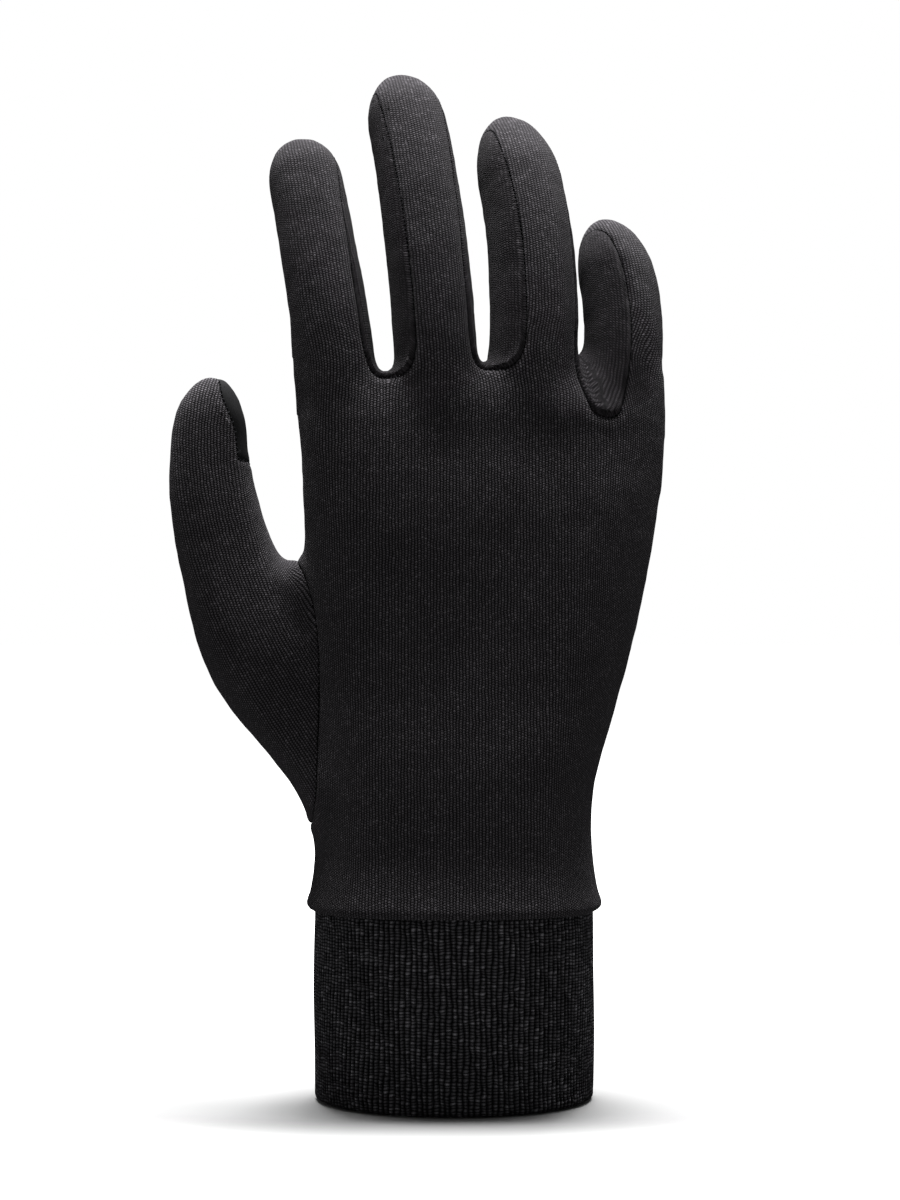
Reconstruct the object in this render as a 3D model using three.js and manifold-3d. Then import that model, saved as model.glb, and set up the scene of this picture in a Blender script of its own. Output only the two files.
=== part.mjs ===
// Knitted glove liner for a right hand, in the shape it has when worn.
// The back of the hand faces -Y, the palm +Y, the little finger +X, and the fingertips point up.
// The origin is the middle of the cuff's opening, in the plane of the cuff's edge.
import * as THREE from "three";
import { mergeVertices } from "three/addons/utils/BufferGeometryUtils.js";
import Module from "manifold-3d";

const wasm = await Module();
wasm.setup();

// Driving dimensions, in millimetres and degrees
const KNIT_WALL = 1.2; // knitted cloth of the hand
const SEAM_GAP = 0.3; // between two sewn pieces

const CUFF_WIDTH = 69.5;
const CUFF_DEPTH = 51.5;
const CUFF_HEIGHT = 47.3; // from its edge to the hem of the hand
const CUFF_WALL = 2.2; // folded rib, two layers
const CUFF_EDGE_ROUND = 0.7; // rounding of the fold
const CUFF_TUCK = 6; // rib that runs up inside the hem
const CUFF_DRAW_IN = 1.3; // how far the sewn top of the rib is pulled in

const HEM_HEIGHT = 19; // from the hem to the narrowest part of the wrist
const WRIST_WIDTH = 68.6;
const WRIST_DEPTH = 48.5;

const HAND_LENGTH = 95.7; // from the wrist to the knuckles
const KNUCKLE_WIDTH = 91.4;
const KNUCKLE_DEPTH = 24;
const KNUCKLE_SHIFT = 7.1; // the knuckles lie to the little finger's side of the wrist
const KNUCKLE_TURN = 7; // they turn back on that side
const KNUCKLE_SLOPE = 6; // and fall towards it
const KNUCKLE_DOME = 11; // height of the rounded end between the fingers' roots

const THUMB_LENGTH = 126; // along its middle line, from inside the palm to the tip
const THUMB_WIDTH = 21;
const THUMB_DEPTH = 20;
const THUMB_TIP = 13; // length of the rounded end
const THUMB_CURL = 8; // bend to the palm at the tip
const THUMB_ROOT = { across: -18.3, back: 1, up: 0 }; // from the wrist's middle
const TOUCH_PAD_LENGTH = 23; // smooth panel, from the thumb's tip down
const TOUCH_PAD_MIDDLE = 45; // turned this far from the side that meets the fingers, to the palm
const TOUCH_PAD_HALF = 85; // it covers this angle to either side

// A finger's root is placed by shares of the knuckles' width and depth, and lies `below` them.
const FINGER_ROOTS = {
  index: { across: -0.26, back: -0.17, below: 16 },
  middle: { across: -0.03, back: -0.17, below: 12 },
  ring: { across: 0.177, back: 0, below: 16 },
  little: { across: 0.353, back: 0.29, below: 22 },
};
// It leans towards +X, bends to the palm by `curl` over its length, and is turned about its own axis
// by `twist`. `tip` is the length of its rounded end.
const FINGERS = [
  { name: "index", length: 101, width: 19.7, depth: 18.3, lean: -8, curl: 33, twist: 7, tip: 12.5 },
  { name: "middle", length: 116, width: 20.9, depth: 19.1, lean: -1.6, curl: 38, twist: 16, tip: 15.5 },
  { name: "ring", length: 109.5, width: 22.3, depth: 20.1, lean: 8.5, curl: 42, twist: 33, tip: 21 },
  { name: "little", length: 87.3, width: 20.7, depth: 19.1, lean: 20.5, curl: 44, twist: 52, tip: 18.5 },
];

// Each web crosses from one finger to the next, at these heights above their roots. `tilt` turns it down
// on the back of the hand. The seam round it starts at `onBack` and `onPalm` from the web's middle.
const WEBS = [
  { fingers: [0, 1], rises: [24, 20], height: 24, tilt: 12, sag: 1.5, onBack: 8, onPalm: 8 },
  { fingers: [1, 2], rises: [22, 26], height: 24, tilt: 16, sag: 1.5, onBack: 8, onPalm: 8 },
  { fingers: [2, 3], rises: [24, 30], height: 28, tilt: 40, sag: 2, onBack: 0, onPalm: 10 },
];
// The thumb's web starts on its middle line and ends in the palm, its middle below the crotch by `drop`.
const THUMB_WEB = { along: 0.5, drop: 10, height: 23, depths: [19, 23], across: -26, back: 1 };
const CROTCH_HEIGHT = 13; // the seam's round bottom, up to where it runs straight up the fingers
const WEB_DEPTH_SHARE = 0.95; // of the fingers beside it

// The hand from the wrist to the knuckles. `up` is a share of HAND_LENGTH, and the others are how far
// each side has come from its place at the wrist (0) to its place at the knuckles (1).
const HAND_SECTIONS = [
  { up: 0, left: 0, right: 0, back: 0, palm: 0, turn: 0, slope: 0 },
  { up: 0.11, left: 0, right: 0.02, back: 0.06, palm: 0, turn: 0, slope: 0 },
  { up: 0.21, left: 0.1, right: 0.15, back: 0.14, palm: 0.04, turn: 0.1, slope: 0 },
  { up: 0.36, left: 0.35, right: 0.37, back: 0.33, palm: 0.16, turn: 0.3, slope: 0.05 },
  { up: 0.5, left: 0.55, right: 0.56, back: 0.46, palm: 0.35, turn: 0.5, slope: 0.2 },
  { up: 0.65, left: 0.7, right: 0.73, back: 0.57, palm: 0.55, turn: 0.7, slope: 0.4 },
  { up: 0.8, left: 0.8, right: 0.87, back: 0.69, palm: 0.72, turn: 0.88, slope: 0.7 },
  { up: 0.93, left: 0.9, right: 0.97, back: 0.86, palm: 0.9, turn: 0.96, slope: 0.9 },
  { up: 1, left: 1, right: 1, back: 1, palm: 1, turn: 1, slope: 1 },
];
// The hem over the cuff: `flare` is how far it stands from the wrist's size (0) to the hem's (1).
const HEM_SECTIONS = [
  { up: 0, flare: 1 },
  { up: 0.14, flare: 0.98 },
  { up: 0.35, flare: 0.6 },
  { up: 0.65, flare: 0.18 },
];
// Width and depth along a finger or thumb, as shares of its named sizes.
const FINGER_GIRTHS = [
  { along: 0, girth: 1.04 },
  { along: 0.3, girth: 1 },
  { along: 0.55, girth: 0.985 },
  { along: 0.8, girth: 0.96 },
  { along: 1, girth: 0.93 },
];
const THUMB_GIRTHS = [
  { along: 0, girth: 1.15 },
  { along: 0.24, girth: 1.27 },
  { along: 0.43, girth: 1.47 },
  { along: 0.62, girth: 1.18 },
  { along: 0.81, girth: 0.98 },
  { along: 1, girth: 0.76 },
];
const THUMB_LEANS = [
  { along: 0, lean: -33 },
  { along: 0.28, lean: -34 },
  { along: 0.52, lean: -23 },
  { along: 0.76, lean: -8.5 },
  { along: 1, lean: 13 },
];
// The seam of the strip between two fingers, from the web (0) to near the tip (1): its angle on the
// finger, from the side that faces the other finger.
const STRIP_ANGLES = [
  { along: 0, angle: 50 },
  { along: 0.5, angle: 46 },
  { along: 0.8, angle: 38 },
  { along: 0.93, angle: 27 },
  { along: 1, angle: 8 },
];
const STRIP_END = 3.5; // the strip's point, below the fingertip
const CROTCH_STEPS = [0, 0.06, 0.2, 0.45, 1]; // heights of the seam's round bottom, as shares of it
const LEAST_OPEN = 0.03; // its width at the very bottom, as a share of the width at its top
const THUMB_CROTCH = 68; // above the wrist
// The seam round the thumb. `up` is a share of the way from the wrist to the thumb's crotch (1), and
// onBack and onPalm give its place across the hand, as shares of the wrist's half width.
const THUMB_SEAM = [
  { up: -0.15, onBack: -1.35, onPalm: -1.35 },
  { up: 0.02, onBack: -1.06, onPalm: -1.02 },
  { up: 0.12, onBack: -1.0, onPalm: -0.82 },
  { up: 0.3, onBack: -0.98, onPalm: -0.52 },
  { up: 0.55, onBack: -0.97, onPalm: -0.34 },
  { up: 0.78, onBack: -1.0, onPalm: -0.5 },
  { up: 0.92, onBack: -1.07, onPalm: -0.82 },
  { up: 1, onBack: -1.15, onPalm: -1.12 },
  { up: 1.12, onBack: -1.24, onPalm: -1.24 },
  { up: 1.9, onBack: -1.36, onPalm: -1.36 },
];

const HAND_SIDES = 28;
const FINGER_SIDES = 14;
const CUFF_SIDES = 40;
const FINGER_STEPS = 6;
const END_STEPS = [0.4, 0.7, 0.9]; // rings over a rounded end, as shares of its length
const DOME_CLOSED_SHARE = 0.985; // where the knuckles' rounded end is closed flat
const ROUND_POWER = 2.3; // 2 is an ellipse, more is boxier
const PALM_POWER = 2.6;
const CURL_POWER = 1.35; // over 1, a finger bends more towards its tip
const WELD = 0.01; // corners nearer than this are one

// A cut through the cloth stands out of it this far at the ends, and by this much at the side.
const CUT_MARGIN = 4;
const CUT_CLEARANCE = 0.8;
const CUT_OVERLAP = 5; // of the cuts on the web and on the fingers

const turn = THREE.MathUtils.degToRad;
const mix = THREE.MathUtils.lerp;
const point = (x, y, z) => new THREE.Vector3(x, y, z);

// The value of one column of a table at a place along it, on a smooth curve through the rows.
function read(table, place, column, key = "along") {
  const rows = table.map((row) => point(row[key], row[column], 0));
  const last = rows.length - 1;
  if (place <= rows[0].x) return rows[0].y;
  if (place >= rows[last].x) return rows[last].y;
  const at = rows.findIndex((row) => row.x > place) - 1;
  const slope = (i) => {
    const [a, b] = [rows[Math.max(i - 1, 0)], rows[Math.min(i + 1, last)]];
    return (b.y - a.y) / (b.x - a.x);
  };
  const [a, b] = [rows[at], rows[at + 1]];
  const span = b.x - a.x;
  const t = (place - a.x) / span;
  const s = t * t * (3 - 2 * t);
  const bend = t * (1 - t) * span;
  return mix(a.y, b.y, s) + bend * (slope(at) * (1 - t) - slope(at + 1) * t);
}

// How far a ring with boxy corners stands out at an angle, as a share of its half sizes.
function reach(angle, power) {
  const sum = Math.abs(Math.cos(angle)) ** power + Math.abs(Math.sin(angle)) ** power;
  return sum ** (-1 / power);
}

// One cross-section: a place, two directions across it and the half size each way.
// `side` points to the little finger and `palm` to the palm.
function pointOn(section, angle, grow = 0, power = ROUND_POWER) {
  const out = reach(angle, power);
  const width = Math.max(section.width / 2 + grow, 0) * out * Math.cos(angle);
  const depth = section.palmDepth && Math.sin(angle) > 0 ? section.palmDepth : section.depth / 2;
  const back = Math.max(depth + grow, 0) * out * Math.sin(angle);
  return section.place.clone().addScaledVector(section.side, width).addScaledVector(section.palm, back);
}

// Closed skin over rings of equal length, with a flat or pointed face at each end.
function skin(rings) {
  const count = rings[0].length;
  const positions = rings.flat().flatMap((p) => [p.x, p.y, p.z]);
  const faces = [];
  for (let r = 0; r + 1 < rings.length; r++)
    for (let i = 0; i < count; i++) {
      const [a, b] = [r * count + i, r * count + ((i + 1) % count)];
      faces.push(a, b, b + count, a, b + count, a + count);
    }
  const capped = (ring, base, flip) => {
    const middle = positions.length / 3;
    const centre = ring.reduce((sum, p) => sum.add(p), point(0, 0, 0)).divideScalar(count);
    positions.push(centre.x, centre.y, centre.z);
    for (let i = 0; i < count; i++) {
      const [a, b] = [base + i, base + ((i + 1) % count)];
      faces.push(...(flip ? [b, a, middle] : [a, b, middle]));
    }
  };
  capped(rings[0], 0, true);
  capped(rings.at(-1), (rings.length - 1) * count, false);
  return solid(positions, faces);
}

// Shared corners become one, and faces that this leaves without area are dropped.
function welded(positions, faces, tolerance) {
  const geometry = new THREE.BufferGeometry();
  geometry.setAttribute("position", new THREE.Float32BufferAttribute(positions, 3));
  geometry.setIndex(faces);
  const merged = mergeVertices(geometry, tolerance);
  const kept = [];
  const corners = merged.index.array;
  for (let i = 0; i < corners.length; i += 3) {
    const [a, b, c] = corners.slice(i, i + 3);
    if (a !== b && b !== c && c !== a) kept.push(a, b, c);
  }
  merged.setIndex(kept);
  return merged;
}

// A solid for cutting and joining, its faces turned out.
function solid(positions, faces) {
  const merged = welded(positions, faces, 1e-4);
  const kept = Array.from(merged.index.array);
  const build = (triangles) =>
    new wasm.Manifold(
      new wasm.Mesh({
        numProp: 3,
        vertProperties: merged.attributes.position.array,
        triVerts: new Uint32Array(triangles),
      }),
    );
  const made = build(kept);
  if (made.volume() > 0) return made;
  for (let i = 0; i < kept.length; i += 3) [kept[i], kept[i + 1]] = [kept[i + 1], kept[i]];
  return build(kept);
}

const joined = (solids) => solids.reduce((a, b) => a.add(b));

function angles(count) {
  return Array.from({ length: count }, (_, i) => (2 * Math.PI * i) / count);
}

// The middle line of a finger or thumb, as sections from the root to the tip. `bend` gives the lean and
// the curl, in degrees, at a share of the length.
function digitSections(digit, shares) {
  const up = (lean) => point(Math.sin(turn(lean)), 0, Math.cos(turn(lean)));
  const toPalm = point(-Math.sin(turn(digit.twist)), Math.cos(turn(digit.twist)), 0);
  const across = point(Math.cos(turn(digit.twist)), Math.sin(turn(digit.twist)), 0);
  const place = digit.root.clone();
  let reached = 0;
  return shares.map((share) => {
    const { lean, curl } = digit.bend((share + reached) / 2);
    const along = up(lean).multiplyScalar(Math.cos(turn(curl))).addScaledVector(toPalm, Math.sin(turn(curl)));
    along.normalize();
    place.addScaledVector(along, (share - reached) * digit.length);
    reached = share;
    const side = across.clone().addScaledVector(along, -across.dot(along)).normalize();
    const palm = along.clone().cross(side).normalize();
    const girth = read(digit.girths, share, "girth");
    const size = { width: digit.width * girth, depth: digit.depth * girth };
    return { share, place: place.clone(), side, palm, ...size };
  });
}

// Shares of the length for a digit's rings: even steps, then closer ones over the rounded end.
function digitShares(digit) {
  const shoulder = 1 - digit.tip / digit.length;
  const shaft = Array.from({ length: FINGER_STEPS + 1 }, (_, i) => (shoulder * i) / FINGER_STEPS);
  const end = [...END_STEPS, 1].map((s) => mix(shoulder, 1, s));
  return [...shaft, ...end];
}

// How much of its girth a digit keeps at a share of its length: all of it up to the rounded end.
function tipFade(digit, share, inset) {
  const tip = digit.tip - inset;
  const into = (share - 1) * digit.length + digit.tip;
  return into <= 0 ? 1 : Math.sqrt(Math.max(0, 1 - (into / tip) ** 2));
}

// The rings of a digit, smaller all round by `inset` and drawn in by it at both ends.
function digitRings(digit, inset) {
  const end = inset / digit.length;
  const shares = digitShares(digit).map((s) => mix(end, 1 - end, s));
  return digitSections(digit, shares).map((section) => {
    const fade = tipFade(digit, section.share, inset);
    return angles(FINGER_SIDES).map((angle) => {
      const rim = pointOn(section, angle, -inset);
      return section.place.clone().lerp(rim, fade);
    });
  });
}

function rootOf({ across, back, below }) {
  return point(across * KNUCKLE_WIDTH, back * KNUCKLE_DEPTH, HEM_HEIGHT + HAND_LENGTH - below);
}

const fingers = FINGERS.map((finger) => ({
  ...finger,
  girths: FINGER_GIRTHS,
  bend: (share) => ({ lean: finger.lean, curl: finger.curl * share ** CURL_POWER }),
  root: rootOf(FINGER_ROOTS[finger.name]),
}));

const thumb = {
  name: "thumb",
  length: THUMB_LENGTH,
  width: THUMB_WIDTH,
  depth: THUMB_DEPTH,
  tip: THUMB_TIP,
  twist: 0,
  girths: THUMB_GIRTHS,
  bend: (share) => ({ lean: read(THUMB_LEANS, share, "lean"), curl: THUMB_CURL * share }),
  root: point(THUMB_ROOT.across, THUMB_ROOT.back, HEM_HEIGHT + THUMB_ROOT.up),
};

// The hand's own sections, from the hem to the closed end over the knuckles.
function handSections(inset) {
  const hemWidth = CUFF_WIDTH + 2 * (SEAM_GAP + KNIT_WALL);
  const hemDepth = CUFF_DEPTH + 2 * (SEAM_GAP + KNIT_WALL);
  const flat = { side: point(1, 0, 0), palm: point(0, 1, 0) };
  const hem = HEM_SECTIONS.map(({ up, flare }) => ({
    ...flat,
    place: point(0, 0, up * HEM_HEIGHT),
    width: mix(WRIST_WIDTH, hemWidth, flare),
    depth: mix(WRIST_DEPTH, hemDepth, flare),
  }));
  if (inset) hem[0].place.z -= CUFF_TUCK;
  const hand = HAND_SECTIONS.map((row) => handSection(row, 0, 0));
  const round = KNUCKLE_DEPTH / 2 - inset;
  const dome = [...END_STEPS, DOME_CLOSED_SHARE].map((s) =>
    handSection(HAND_SECTIONS.at(-1), round * (1 - Math.sqrt(1 - s * s)), s * (KNUCKLE_DOME - inset)),
  );
  return [...hem, ...hand, ...dome];
}

// One row of the hand's table as a section, drawn in all round and raised.
function handSection(row, drawIn, raise) {
  const left = mix(-WRIST_WIDTH / 2, KNUCKLE_SHIFT - KNUCKLE_WIDTH / 2, row.left);
  const right = mix(WRIST_WIDTH / 2, KNUCKLE_SHIFT + KNUCKLE_WIDTH / 2, row.right);
  const angle = turn(KNUCKLE_TURN * row.turn);
  const slope = turn(KNUCKLE_SLOPE * row.slope);
  const side = point(Math.cos(angle) * Math.cos(slope), Math.sin(angle) * Math.cos(slope), -Math.sin(slope));
  return {
    place: point((left + right) / 2, 0, HEM_HEIGHT + row.up * HAND_LENGTH + raise),
    side,
    palm: point(-Math.sin(angle), Math.cos(angle), 0),
    width: right - left - drawIn,
    depth: mix(WRIST_DEPTH, KNUCKLE_DEPTH, row.back) - 2 * drawIn,
    palmDepth: mix(WRIST_DEPTH, KNUCKLE_DEPTH, row.palm) / 2 - drawIn,
  };
}

function handRings(inset) {
  return handSections(inset).map((section) =>
    angles(HAND_SIDES).map((angle) => pointOn(section, angle, -inset, PALM_POWER)),
  );
}

// The sections of a web between two places, its ends drawn in by `inset`. `level` lies across it, and it
// is turned down by `tilt`.
function crossing(from, to, web, depths, inset) {
  const along = to.clone().sub(from).normalize();
  const end = inset / from.distanceTo(to);
  const level = point(0, 0, 1).cross(along).normalize();
  const rise = along.clone().cross(level).normalize();
  const tilt = turn(web.tilt ?? 0);
  const top = rise.clone().multiplyScalar(Math.cos(tilt)).addScaledVector(level, Math.sin(tilt));
  const palm = level.clone().multiplyScalar(Math.cos(tilt)).addScaledVector(rise, -Math.sin(tilt));
  return [end, 0.25, 0.5, 0.75, 1 - end].map((t) => ({
    place: from.clone().lerp(to, t).addScaledVector(rise, -(web.sag ?? 0) * (1 - (2 * t - 1) ** 2)),
    side: top,
    palm,
    width: web.height,
    depth: mix(...depths, t),
  }));
}

function sectionAt(digit, share) {
  return digitSections(digit, [...digitShares(digit).filter((s) => s < share), share]).at(-1);
}

// Between two fingers, from one middle line to the next.
function fingerWeb(web, inset) {
  const ends = web.fingers.map((f, i) => sectionAt(fingers[f], web.rises[i] / fingers[f].length));
  const depths = ends.map((section) => section.depth * WEB_DEPTH_SHARE);
  return crossing(ends[0].place, ends[1].place, web, depths, inset);
}

// Between the thumb and the palm.
function thumbWeb(inset) {
  const from = sectionAt(thumb, THUMB_WEB.along).place;
  const to = point(THUMB_WEB.across, THUMB_WEB.back, HEM_HEIGHT + THUMB_CROTCH - THUMB_WEB.drop);
  return crossing(from, to, THUMB_WEB, THUMB_WEB.depths, inset);
}

// The whole hand as one closed form, smaller all round by `inset`.
function handForm(inset) {
  const ringOf = (section) => angles(FINGER_SIDES).map((angle) => pointOn(section, angle, -inset));
  const webs = [...WEBS.map((web) => fingerWeb(web, inset)), thumbWeb(inset)].map((web) => web.map(ringOf));
  const digits = [...fingers, thumb].map((digit) => digitRings(digit, inset));
  return joined([handRings(inset), ...digits, ...webs].map(skin));
}

// The line through a digit that two seams lie on, drawn out past the cloth: its ends on the back and on
// the palm, and the way `out` to the side that `middle` faces. It lies deeper by `grow`.
function seamLine(digit, share, middle, half, grow) {
  const section = sectionAt(digit, share);
  const fade = tipFade(digit, share, 0);
  const order = Math.cos(middle) < 0 ? [half, -half] : [-half, half];
  const [back, palm] = order.map((h) => section.place.clone().lerp(pointOn(section, middle + h), fade));
  const out = section.side.clone().multiplyScalar(Math.cos(middle));
  out.addScaledVector(section.palm, Math.sin(middle));
  const across = palm.clone().sub(back).normalize();
  back.addScaledVector(across, -CUT_MARGIN * fade).addScaledVector(out, -grow);
  palm.addScaledVector(across, CUT_MARGIN * fade).addScaledVector(out, -grow);
  return { back, palm, out, width: section.width };
}

// All of a digit's wall that lies beyond its seam lines, from one share of its length to another.
// `seam` gives the half angle between the seams at a share of that way. `grow` makes it larger all round.
function wallCut(digit, start, end, middle, seam, grow) {
  const shares = [start, ...digitShares(digit).filter((s) => s > start && s < end), end];
  const rings = shares.map((share) => {
    const half = turn(seam((share - start) / (end - start)));
    const { back, palm, out, width } = seamLine(digit, share, middle, half, grow);
    const reachOut = ((1 - Math.cos(half)) * width) / 2 + 2 * grow + CUT_CLEARANCE;
    const [backOut, palmOut] = [back, palm].map((p) => p.clone().addScaledVector(out, reachOut));
    return [back, palm, palmOut, backOut];
  });
  return skin(rings);
}

// The strip's part on one finger.
function fingerCut(finger, rise, middle, grow) {
  const end = 1 - (STRIP_END - grow) / finger.length;
  const angleAt = (along) => read(STRIP_ANGLES, along, "angle");
  return wallCut(finger, rise / finger.length, end, middle, angleAt, grow);
}

// The strip's part on the web: between the two fingers' seam lines, closing in a round at the bottom.
function webCut(web, grow) {
  const top = Math.max(web.onBack, web.onPalm) + CROTCH_HEIGHT;
  const rings = CROTCH_STEPS.map((s) => {
    const open = mix(LEAST_OPEN, 1, Math.sqrt(1 - (1 - s) ** 2));
    const corners = [-1, 1].map((face) => {
      const bottom = (face < 0 ? web.onBack : web.onPalm) - grow;
      const rise = mix(bottom, top, s);
      const pair = web.fingers.map((f, i) => {
        const share = (web.rises[i] + rise) / fingers[f].length;
        const line = seamLine(fingers[f], share, i * Math.PI, turn(STRIP_ANGLES[0].angle), grow);
        return face < 0 ? line.back : line.palm;
      });
      const middle = pair[0].clone().lerp(pair[1], 0.5);
      return pair.map((corner) => middle.clone().lerp(corner, open));
    });
    return [corners[0][0], corners[0][1], corners[1][1], corners[1][0]];
  });
  return skin(rings);
}

// The way through the cloth that a strip between two fingers takes, larger all round by `grow`.
function stripCut(web, grow) {
  const highest = Math.max(web.onBack, web.onPalm) + CROTCH_HEIGHT - CUT_OVERLAP;
  return joined([
    fingerCut(fingers[web.fingers[0]], web.rises[0] + highest, 0, grow),
    webCut(web, grow),
    fingerCut(fingers[web.fingers[1]], web.rises[1] + highest, Math.PI, grow),
  ]);
}

// Everything to the thumb's side of its seam, moved out by `grow`. The seam's two sides meet in the
// middle of the hand's depth.
function thumbCut(grow) {
  const half = WRIST_WIDTH / 2;
  const outer = -half - THUMB_LENGTH;
  const depth = WRIST_DEPTH;
  const rings = THUMB_SEAM.map(({ up, onBack, onPalm }) => {
    const z = HEM_HEIGHT + up * THUMB_CROTCH;
    return [
      point(outer, -depth, z),
      point(onBack * half + grow, -depth, z),
      point(onBack * half + grow, 0, z),
      point(onPalm * half + grow, depth / 2, z),
      point(outer, depth, z),
    ];
  });
  return skin(rings);
}

// The pad's place on the thumb: from near the tip down, on the side that meets the fingers.
function padCut(grow) {
  const start = 1 - (TOUCH_PAD_LENGTH + grow) / THUMB_LENGTH;
  return wallCut(thumb, start, 1 - 0.2 / THUMB_LENGTH, turn(TOUCH_PAD_MIDDLE), () => TOUCH_PAD_HALF, grow);
}

// The triangles of the largest connected piece. The cuts leave crumbs beside a seam.
function largestPiece(triangles, count) {
  const parent = Array.from({ length: count }, (_, i) => i);
  const find = (i) => {
    while (parent[i] !== i) i = parent[i] = parent[parent[i]];
    return i;
  };
  for (let t = 0; t < triangles.length; t += 3) {
    parent[find(triangles[t + 1])] = find(triangles[t]);
    parent[find(triangles[t + 2])] = find(triangles[t]);
  }
  const sizes = new Map();
  for (let t = 0; t < triangles.length; t += 3) {
    const root = find(triangles[t]);
    sizes.set(root, (sizes.get(root) ?? 0) + 1);
  }
  const [largest] = [...sizes].sort((a, b) => b[1] - a[1])[0];
  return Array.from(triangles).filter((_, i) => find(triangles[i - (i % 3)]) === largest);
}

function meshOf(name, made, material) {
  const { vertProperties, triVerts, numProp, numVert } = made.getMesh();
  const positions = [];
  for (let i = 0; i < numVert; i++) positions.push(...vertProperties.subarray(i * numProp, i * numProp + 3));
  const geometry = welded(positions, largestPiece(triVerts, numVert), WELD);
  geometry.computeVertexNormals();
  const mesh = new THREE.Mesh(geometry, material);
  mesh.name = name;
  return mesh;
}

const knit = new THREE.MeshStandardMaterial({ color: 0x1b1a1c, roughness: 0.9, metalness: 0 });
const rib = new THREE.MeshStandardMaterial({ color: 0x161618, roughness: 0.92, metalness: 0 });
const smoothPanel = new THREE.MeshStandardMaterial({ color: 0x202023, roughness: 0.45, metalness: 0 });

// The folded rib: straight to the hem, then drawn in where it is sewn inside the hand.
function cuff() {
  const wide = CUFF_WIDTH / 2;
  const deep = CUFF_DEPTH / 2;
  const top = CUFF_HEIGHT + CUFF_TUCK;
  const inner = CUFF_WALL;
  // how far in from the outside, and how high
  const profile = [
    [CUFF_EDGE_ROUND, 0],
    [0, CUFF_EDGE_ROUND],
    [0, CUFF_HEIGHT],
    [CUFF_DRAW_IN, top],
    [CUFF_DRAW_IN + inner, top],
    [inner, CUFF_HEIGHT],
    [inner, CUFF_EDGE_ROUND],
    [inner - CUFF_EDGE_ROUND, 0],
  ];
  const ring = profile.map(([inset, z]) =>
    angles(CUFF_SIDES).map((a) => point((wide - inset) * Math.cos(a), (deep - inset) * Math.sin(a), z)),
  );
  const count = CUFF_SIDES;
  const positions = ring.flat().flatMap((p) => [p.x, p.y, p.z]);
  const faces = [];
  for (let r = 0; r < ring.length; r++)
    for (let i = 0; i < count; i++) {
      const next = (i + 1) % count;
      const [a, b] = [r * count + i, r * count + next];
      const [c, d] = [((r + 1) % ring.length) * count + next, ((r + 1) % ring.length) * count + i];
      faces.push(a, b, c, a, c, d);
    }
  return solid(positions, faces);
}

const shell = handForm(0).subtract(handForm(KNIT_WALL));
const strips = WEBS.map((web) => shell.intersect(stripCut(web, 0)));
const thumbWall = shell.intersect(thumbCut(0));
const cuts = joined([...WEBS.map((web) => stripCut(web, SEAM_GAP)), thumbCut(SEAM_GAP)]);

const hand = new THREE.Group();
hand.position.z = CUFF_HEIGHT;
hand.add(meshOf("hand_body", shell.subtract(cuts), knit));
WEBS.forEach((web, i) => {
  const [left, right] = web.fingers.map((f) => FINGERS[f].name);
  hand.add(meshOf(`strip_${left}_${right}`, strips[i], knit));
});
hand.add(meshOf("thumb", thumbWall.subtract(padCut(SEAM_GAP)), knit));
hand.add(meshOf("thumb_touch_pad", thumbWall.intersect(padCut(0)), smoothPanel));

const glove = new THREE.Group();
glove.add(hand, meshOf("cuff", cuff(), rib));
export default glove;
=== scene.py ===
import math

import bmesh
import bpy
import numpy as np
from mathutils import Matrix, Vector, noise


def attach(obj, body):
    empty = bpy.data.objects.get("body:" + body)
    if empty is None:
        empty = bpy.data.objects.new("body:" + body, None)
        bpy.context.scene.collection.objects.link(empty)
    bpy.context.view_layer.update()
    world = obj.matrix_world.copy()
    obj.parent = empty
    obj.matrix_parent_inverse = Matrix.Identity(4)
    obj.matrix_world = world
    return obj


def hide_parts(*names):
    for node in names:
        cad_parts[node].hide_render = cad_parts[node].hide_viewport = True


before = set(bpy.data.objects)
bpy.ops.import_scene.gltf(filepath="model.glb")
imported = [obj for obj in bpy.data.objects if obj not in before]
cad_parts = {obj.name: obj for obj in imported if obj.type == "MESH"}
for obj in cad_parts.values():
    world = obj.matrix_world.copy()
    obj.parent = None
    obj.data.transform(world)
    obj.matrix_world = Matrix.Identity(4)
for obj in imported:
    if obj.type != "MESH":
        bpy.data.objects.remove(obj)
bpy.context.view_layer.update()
MM = 0.001

# Cloth
KNIT_WALL = 1.2
SEAM_GAP = 0.3
EDGE_GAP = 0.14  # how far a panel's open edge is drawn in from its seam
UNEVEN = [(0.16, 9), (0.1, 3.5)]  # slight unevenness of the cloth: how deep and how wide
VOXEL = 1.3  # size of the grid that joins the hand's forms

# Cuff
CUFF_WIDTH = 69.5
CUFF_DEPTH = 51.5
CUFF_HEIGHT = 47.3
CUFF_WALL = 2.2
CUFF_TUCK = 6.0
CUFF_DRAW_IN = 1.3
RIBS = 152
RIB_SAMPLES = 6
RIB_RELIEF = 0.5
RIB_ROUNDNESS = 0.8
RIB_WOBBLE = [(0.13, 6.1, 0.37), (0.08, 2.3, 1.7)]  # how far ribs stray, over what height, and how unlike the next
CUFF_SWELL = [(0.25, 15, 2), (0.12, 7, 5)]  # how deep, over what height, and how often round
CUFF_CALM = 3.0  # height of the edges where the swell is slight
CUFF_CALM_SHARE = 0.2
CUFF_INNER_ROWS = 7
# Share of the rib's relief on each part of the cuff
RELIEF_SHARES = dict(outer=1.0, tuck=0.6, top=0.3, inner=0.5, under=0.8)
CUFF_ROW = 0.95  # height of a ring of the cuff's mesh

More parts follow.
